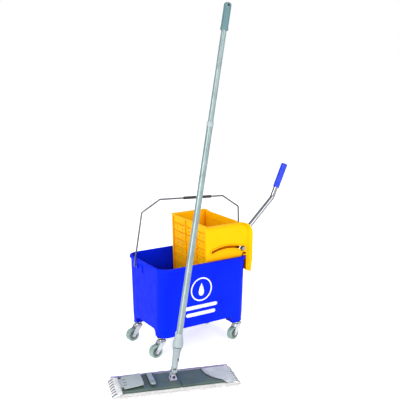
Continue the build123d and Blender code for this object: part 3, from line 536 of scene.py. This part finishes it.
# Two rows of hem thread along the back edge, lying on the backing.
hem_paths = [
    [backing_point(k / 90, share) + Vector((0, 0, lift)) for k in range(91)]
    for share, lift in ((0.995, 0.0006), (0.975, 0.0008))
]
hem = strands("mop_cloth_hem_stitching", hem_paths, HEM_R, hem_thread)


# ----------------------------------------------------------------------- pockets
def pocket_left_point(s, t):
    """The short pocket over the frame's left end."""
    u = -POCKET_END + POCKET_L * s
    n = (t - 0.5) * POCKET_W
    shoulder = min(1.0, (POCKET_W / 2 - abs(n)) / 0.008)
    lip = min(1.0, s / 0.45)
    z = CLOTH_TOP + (0.0172 - CLOTH_TOP) * (shoulder * lip) ** 0.5
    return on_mop(u, n, z + wobble(u, n, 0.0008, 70, 4.0) * lip)


def mouth_u(t):
    """The right pocket's mouth: straight across at the back, swept outwards to the front corner."""
    return MOUTH_U + MOUTH_SWEEP * (1 - t) ** 3.2


def pocket_right_point(s, t):
    """The long pocket over the frame's right end, with its slanting mouth."""
    n = (t - 0.5) * POCKET_W
    u = mouth_u(t) + (POCKET_END - mouth_u(t)) * s
    shoulder = min(1.0, max(0.0, (POCKET_W / 2 - abs(n)) / 0.008))
    lip = min(1.0, max(0.0, (POCKET_END - u) / 0.009))
    z = CLOTH_TOP + (0.0174 - CLOTH_TOP) * (shoulder * lip) ** 0.5
    return on_mop(u, n, z + wobble(u, n, 0.0014, 40, 7.0) * lip * shoulder)


pocket_left = new_object("mop_cloth_pocket_left", grid_mesh("pocket_l", 12, 48, pocket_left_point),
                         cotton_weave)
pocket_right = new_object("mop_cloth_pocket_right", grid_mesh("pocket_r", 40, 48, pocket_right_point),
                          pocket_weave)
for pocket in (pocket_left, pocket_right):
    add_modifier(pocket, "SOLIDIFY", thickness=0.0009, offset=-1)
pocket_left, pocket_right = applied(pocket_left), applied(pocket_right)

mouth_path = [pocket_right_point(0.0, t / 14) + Vector((0, 0, 0.0006)) for t in range(15)]
mouth_piping = strands("mop_cloth_pocket_piping", [mouth_path], PIPING_R, piping, 3)

pocket_seams = []
for t in range(2, 60):
    share = (t + 0.5) / 62
    for inset in (0.06, 0.11):
        a = pocket_right_point(inset, share)
        b = pocket_right_point(inset, share + 0.010)
        pocket_seams.append([a + Vector((0, 0, 0.0002)), (a + b) / 2 + Vector((0, 0, 0.0007)), b])
seams = strands("mop_cloth_pocket_seams", pocket_seams, SEAM_R, hem_thread)

for piece in (backing, pad, fringe, tufts, blue_tufts_and_shade, hem):
    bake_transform(piece)
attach(pocket_left, "mop_head")
for piece in (pocket_right, mouth_piping, seams):
    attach(piece, "mop_wing")
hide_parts("mop_cloth_left", "mop_cloth_right")

# ================================================================ CAD materials
# Painted shade: the bucket goes dark navy in its crevices and deep inside it.
blue = moulded_plastic(
    "bucket_polypropylene", BLUE, BLUE_DEEP, (0.03, 0.12, 0.98), roughness=0.42, edge=0.0016,
    shade=(0.001, 0.002, 0.20), hollow_shade_reach=0.25, Specular_IOR_Level=0.15, IOR=1.2,
)
# Painted shade: the wringer goes deep orange in its crevices, slot and insides.
yellow = moulded_plastic(
    "wringer_polypropylene", YELLOW, ORANGE, (1.0, 0.72, 0.02), roughness=0.42, edge=0.0010,
    shade=(0.72, 0.16, 0.001), hollow_shade_reach=0.12, Specular_IOR_Level=0.15, IOR=1.25,
)
# Painted shade: the pale parts go near black in their slots and recesses.
pale = moulded_plastic(
    "pale_nylon", PALE, PALE_DARK, (0.62, 0.66, 0.70), roughness=0.45, edge=0.0008,
    shade=(0.02, 0.024, 0.026),
)
lavender = moulded_plastic(
    "base_nylon", (0.52, 0.50, 0.66), (0.40, 0.39, 0.54), (0.75, 0.74, 0.82), roughness=0.45, edge=0.0008,
)
slate = moulded_plastic("frame_plastic", SLATE, SLATE_DARK, (0.22, 0.29, 0.31), roughness=0.55, edge=0.0008)
teal = moulded_plastic("pole_grip_plastic", TEAL, TEAL_DARK, (0.30, 0.42, 0.44), roughness=0.45, edge=0.0010)
black = moulded_plastic(
    "bail_grip_plastic", (0.010, 0.010, 0.012), (0.004, 0.004, 0.005), (0.08, 0.08, 0.08), roughness=0.4,
)
wheel_grey = moulded_plastic(
    "castor_core", (0.36, 0.40, 0.38), (0.22, 0.25, 0.24), (0.55, 0.57, 0.56), roughness=0.45,
)
pole_axis = Vector(joints["pole_extend"]["axis"])
pole_turn = pole_axis.to_track_quat("Z", "Y").inverted().to_euler()
aluminium = drawn_metal(
    "anodised_aluminium", (0.25, 0.32, 0.32), (0.19, 0.25, 0.255), roughness=0.34, stretch=(900, 900, 12),
    metallic=0.35, turn=pole_turn,
)
chrome = drawn_metal(
    "chrome_tube", (0.34, 0.35, 0.37), (0.28, 0.29, 0.31), roughness=0.13, stretch=(400, 400, 30),
)
wire = drawn_metal(
    "bail_wire", (0.16, 0.17, 0.19), (0.09, 0.095, 0.11), roughness=0.32, stretch=(300, 300, 300),
)
bolts = drawn_metal(
    "bright_bolt", (0.34, 0.35, 0.36), (0.22, 0.22, 0.23), roughness=0.25, stretch=(700, 700, 700),
)
dark_steel = drawn_metal(
    "blackened_steel", (0.045, 0.05, 0.05), (0.02, 0.022, 0.022), roughness=0.4, stretch=(500, 500, 500),
    metallic=0.6,
)
zinc = zinc_plate("zinc_plate")
rubber = tyre_rubber("castor_tyre")
grip_blue = ribbed_grip(
    "lever_grip_vinyl", (0.003, 0.035, 0.72), (0.002, 0.018, 0.42), direction=(0.414, 0, 0.911), pitch=0.0055,
)

paint(blue, "bucket")
paint(yellow, "wringer_basket", "press_plate")
paint(pale, "pole_socket", "socket_ring", "pole_collar", "tube_sleeve", "twist_lock", "joint_cross",
      "clamp_flap", "foot_pedal")
paint(lavender, "base_block")
paint(slate, "frame_left", "frame_right")
paint(teal, "pole_grip")
paint(black, "bail_grip")
paint(aluminium, "lower_tube", "upper_tube")
paint(chrome, "lever_tube")
paint(wire, "bail")
paint(bolts, "guide_shaft", "guide_nuts", "lever_pivot_pin", "lever_pivot_clip",
      "fold_pin", "flap_pin", "pedal_pin")
paint(dark_steel, "guide_washers", "joint_pin_lower", "joint_pin_upper", "lock_screw")
paint(grip_blue, "lever_grip")
for corner in ("front_left", "back_left", "front_right", "back_right"):
    paint(zinc, f"castor_{corner}_stem", f"castor_{corner}_fork", f"castor_{corner}_axle")
    paint(wheel_grey, f"castor_{corner}_wheel")
    paint(rubber, f"castor_{corner}_tyre")

# ======================================================================== badge
bucket_low, bucket_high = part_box("bucket")
badge_x = (bucket_low.x + bucket_high.x) / 2 - BADGE_LEFT


def wall_y(z):
    """The near wall's Y at a height: it leans out towards the rim."""
    middle = (bucket_low.y + bucket_high.y) / 2
    return middle - WALL_OUT - WALL_LEAN * (z - WALL_FOOT) / WALL_RISE


def on_wall(x, z, out):
    return Vector((badge_x + x, wall_y(z) - out, z))


def flat_plaque(name, outlines):
    """Thin printed shapes that follow the wall; each outline is an outer loop and an inner loop of points."""
    mesh = bmesh.new()
    for outer, inner in outlines:
        rings = [[mesh.verts.new(on_wall(x, z, PRINT_T)) for x, z in loop] for loop in (outer, inner)]
        count = len(outer)
        for k in range(count):
            mesh.faces.new((rings[0][k], rings[1][k], rings[1][(k + 1) % count], rings[0][(k + 1) % count]))
    data = bpy.data.meshes.new(name)
    bmesh.ops.recalc_face_normals(mesh, faces=mesh.faces)
    mesh.to_mesh(data)
    mesh.free()
    return data


def ring(radius, z, count=96):
    """A circle's points, on the badge's upright middle line at height z, as all its marks are."""
    return [(radius * cos(2 * pi * k / count), z + radius * sin(2 * pi * k / count)) for k in range(count)]


def drop(size, z, count=48):
    """A water drop's outline, pointed at the top."""
    points = []
    for k in range(count):
        angle = 2 * pi * k / count
        narrow = sin(angle / 2) ** 1.3
        points.append((size * 0.62 * sin(angle) * narrow, z + size * cos(angle)))
    return points


def bar(half_l, half_h, z, count=12):
    """A bar with round ends, as its outline and its centre line doubled back."""
    outer, inner = [], []
    for side in (1, -1):
        for k in range(count):
            angle = -pi / 2 + pi * k / (count - 1)
            outer.append((side * (half_l + half_h * cos(angle)), z + side * half_h * sin(angle)))
            inner.append((side * half_l, z))
    return outer, inner


white_print = moulded_plastic(
    "white_print", (0.88, 0.89, 0.90), (0.80, 0.81, 0.83), (0.60, 0.64, 0.78), roughness=0.5, edge=0.0004,
)
marks = [
    (ring(0.047, BADGE_Z), ring(0.0415, BADGE_Z)),
    (drop(0.026, BADGE_Z), drop(0.0005, BADGE_Z - 0.007)),
    bar(0.066, 0.0075, 0.178),
    bar(0.058, 0.0075, 0.150),
]
badge = new_object("generic_drop_badge", flat_plaque("badge", marks), white_print)
add_modifier(badge, "SOLIDIFY", thickness=PRINT_T, offset=1)
badge = applied(badge)
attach(badge, "bucket")

# ======================================================================= studio
floor_mesh = bpy.data.meshes.new("floor")
floor_mesh.from_pydata([(-40, -40, 0), (40, -40, 0), (40, 40, 0), (-40, 40, 0)], [], [(0, 1, 2, 3)])
floor = bpy.data.objects.new("studio_floor", floor_mesh)
scene.collection.objects.link(floor)
floor_shader = Shader("studio_floor", 0.9)
floor_shader.colour(floor_shader.mix(floor_shader.noise(0.6), (0.93, 0.93, 0.93), (0.91, 0.91, 0.91)))
floor_shader.bsdf.inputs["Emission Color"].default_value = (1, 1, 1, 1)
floor_shader.bsdf.inputs["Emission Strength"].default_value = 0.55
floor_mesh.materials.append(floor_shader.material)

world = bpy.data.worlds.new("studio")
scene.world = world
world.use_nodes = True
tree = world.node_tree
ambient = tree.nodes["Background"]
ambient.inputs["Color"].default_value = (0.95, 0.97, 1.0, 1)
ambient.inputs["Strength"].default_value = 0.55


def world_layer(under, ray, colour, strength):
    """What one kind of ray sees of the studio instead of the layers under it."""
    light_path = tree.nodes.new("ShaderNodeLightPath")
    layer = tree.nodes.new("ShaderNodeBackground")
    if isinstance(colour, tuple):
        layer.inputs["Color"].default_value = colour
    else:
        tree.links.new(colour, layer.inputs["Color"])
    layer.inputs["Strength"].default_value = strength
    mixer = tree.nodes.new("ShaderNodeMixShader")
    tree.links.new(light_path.outputs[ray], mixer.inputs["Fac"])
    tree.links.new(under, mixer.inputs[1])
    tree.links.new(layer.outputs["Background"], mixer.inputs[2])
    return mixer.outputs["Shader"]


def world_math(operation, a, b=0.0):
    """One sum on a direction's parts, for the studio's cards."""
    node = tree.nodes.new("ShaderNodeMath")
    node.operation = operation
    for socket, value in zip(node.inputs, (a, b)):
        if isinstance(value, float):
            socket.default_value = value
        else:
            tree.links.new(value, socket)
    return node.outputs[0]


# Reflections see pale upright cards with dark gaps between them, so that the chrome has contrast.
coords = tree.nodes.new("ShaderNodeTexCoord")
parts = tree.nodes.new("ShaderNodeSeparateXYZ")
tree.links.new(coords.outputs["Generated"], parts.inputs["Vector"])
bearing = world_math("ARCTAN2", parts.outputs["Y"], parts.outputs["X"])
stripes = world_math("SINE", world_math("ADD", world_math("MULTIPLY", bearing, 3.0), CARD_PHASE))
ramp = tree.nodes.new("ShaderNodeValToRGB")
ramp.color_ramp.elements[0].position = 0.10
ramp.color_ramp.elements[0].color = (0.03, 0.035, 0.04, 1)
ramp.color_ramp.elements[1].position = 0.45
ramp.color_ramp.elements[1].color = (1, 1, 1, 1)
tree.links.new(stripes, ramp.inputs["Fac"])
seen = world_layer(ambient.outputs["Background"], "Is Glossy Ray", ramp.outputs["Color"], 1.3)
seen = world_layer(seen, "Is Camera Ray", (1, 1, 1, 1), 1.0)
tree.links.new(seen, tree.nodes["World Output"].inputs["Surface"])


def area_light(name, place, target, size, power):
    """A softbox aimed at a point."""
    light = bpy.data.lights.new(name, "AREA")
    light.shape = "RECTANGLE"
    light.size, light.size_y = size
    light.energy = power
    obj = bpy.data.objects.new(name, light)
    obj.location = place
    obj.rotation_euler = (Vector(target) - Vector(place)).to_track_quat("-Z", "Y").to_euler()
    scene.collection.objects.link(obj)


area_light("key", (0.2, -3.4, 1.9), (0, 0, 0.35), (1.8, 1.8), 48)
area_light("fill", (-3.2, -1.6, 1.5), (0, 0, 0.4), (2.2, 2.2), 98)
area_light("top", (0.3, 0.2, 3.4), (0, 0, 0.2), (2.0, 2.0), 16)
area_light("rim", (2.6, 1.8, 1.6), (0.2, 0, 0.4), (1.2, 1.8), 14)

camera_data = bpy.data.cameras.new("camera")
camera_data.lens = LENS
camera_data.sensor_width = 36
camera = bpy.data.objects.new("camera", camera_data)
azimuth, elevation = radians(AZIMUTH), radians(ELEVATION)
back = Vector((sin(azimuth) * cos(elevation), -cos(azimuth) * cos(elevation), sin(elevation)))
camera.location = Vector(joints["bail_swing"]["pos_m"]) + Vector(CAMERA_FROM_BUCKET)
camera.rotation_euler = back.to_track_quat("Z", "Y").to_euler()
scene.collection.objects.link(camera)
scene.camera = camera
scene.view_settings.view_transform = "Standard"
